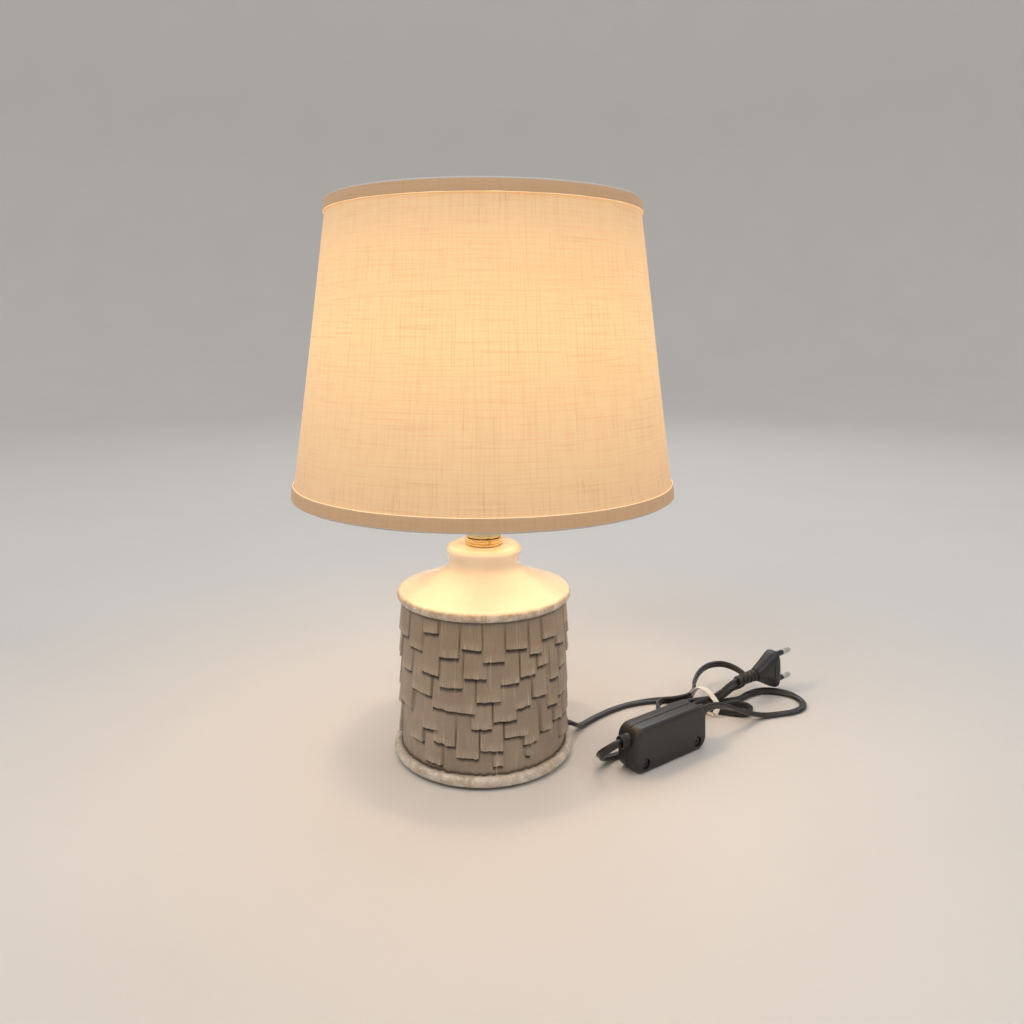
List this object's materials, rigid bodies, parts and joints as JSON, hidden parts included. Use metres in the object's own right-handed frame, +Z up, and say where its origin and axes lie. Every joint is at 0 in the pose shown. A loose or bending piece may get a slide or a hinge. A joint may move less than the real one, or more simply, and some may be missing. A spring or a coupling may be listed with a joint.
{
  "type": "table lamp",
  "caption": "Table lamp: tapered linen drum shade on a turned, tile-textured ceramic base, with its corded rocker switch and plug tied up beside it.",
  "frame": {"origin": "on the table, under the lamp's vertical axis", "axes": "+Z up along the lamp's axis, +X towards the side where the cord leaves, +Y away from the viewer"},
  "size_m": [0.3596, 0.2496, 0.361],
  "materials": {
    "glaze": "white glaze, satin on the relief",
    "felt": "felt",
    "black_plastic": "black satin moulded plastic",
    "brass": "aged satin brass",
    "steel": "zinc plated",
    "porcelain": "unglazed porcelain",
    "nickel": "nickel plated",
    "bulb_glass": "frosted, lit warm from inside",
    "filament": "glowing LED filament",
    "shade_lining": "translucent film",
    "linen": "slubby natural linen, translucent",
    "trim": "tan tape",
    "wire": "white lacquered wire",
    "cord": "black flexible PVC, satin",
    "tie": "off-white plastic over wire"
  },
  "bodies": {
    "base": {"ceramic_base": "glaze", "cord_grommet": "black_plastic", "inner_lead": "cord", "threaded_nipple": "steel", "lower_washer": "steel", "lower_nut": "steel", "neck_ring": "brass", "holder_cap": "brass", "holder_shell": "black_plastic", "holder_insert": "porcelain", "terminal_screw_1": "brass", "terminal_screw_2": "brass", "screw_sleeve": "brass", "centre_contact": "brass", "shade_ring_lower": "black_plastic", "base_lead": "cord", "supply_loop": "cord", "switch_lead": "cord", "ring_loop": "cord", "plug_lead": "cord", "tied_hank": "cord", "cord_tie": "tie", "switch_front_shell": "black_plastic", "switch_rear_shell": "black_plastic", "switch_screw_1": "steel", "switch_screw_2": "steel", "rocker_pin": "steel", "contact_block_1": "brass", "contact_block_2": "brass", "cord_sleeve_left": "black_plastic", "cord_sleeve_right": "black_plastic", "plug_body": "black_plastic", "plug_pin_1": "nickel", "plug_pin_2": "nickel", "foot_pad_1": "felt", "foot_pad_2": "felt", "foot_pad_3": "felt", "foot_pad_4": "felt"},
    "shade_ring": {"shade_ring_upper": "black_plastic"},
    "bulb_contact": {"bulb_tip_contact": "nickel", "bulb_insulator": "black_plastic"},
    "bulb": {"bulb_cap": "nickel", "bulb_glass": "bulb_glass", "bulb_stem": "bulb_glass", "bulb_filament": "filament"},
    "shade": {"shade_cover": "linen", "shade_lining": "shade_lining", "top_trim": "trim", "bottom_trim": "trim", "top_wire_ring": "wire", "bottom_wire_ring": "wire", "fitter_ring": "wire", "spider_arm_1": "wire", "spider_arm_2": "wire", "spider_arm_3": "wire"},
    "rocker": {"switch_rocker": "black_plastic", "moving_contact": "brass"}
  },
  "joints": [
    {"name": "shade_turn", "type": "hinge", "parent": "base", "child": "shade", "pos_m": [0, 0, 0.187], "axis": [0, 0, 1], "continuous": true},
    {"name": "shade_ring_turn", "type": "hinge", "parent": "base", "child": "shade_ring", "pos_m": [0, 0, 0.19], "axis": [0, 0, 1], "range_deg": [0, 1080]},
    {"name": "bulb_lift", "type": "slide", "parent": "base", "child": "bulb_contact", "axis": [0, 0, 1], "range_m": [0, 0.01692]},
    {"name": "bulb_turn", "type": "hinge", "parent": "bulb_contact", "child": "bulb", "pos_m": [0, 0, 0.18], "axis": [0, 0, 1], "range_deg": [0, 2160]},
    {"name": "switch_rocker_tilt", "type": "hinge", "parent": "base", "child": "rocker", "pos_m": [0.1136, -0.0114, 0.014], "axis": [0, 0, 1], "range_deg": [-16, 0]}
  ],
  "couplings": [
    {"joint": "bulb_turn", "follows": "bulb_lift", "rad_per_m": 2228.1}
  ]
}
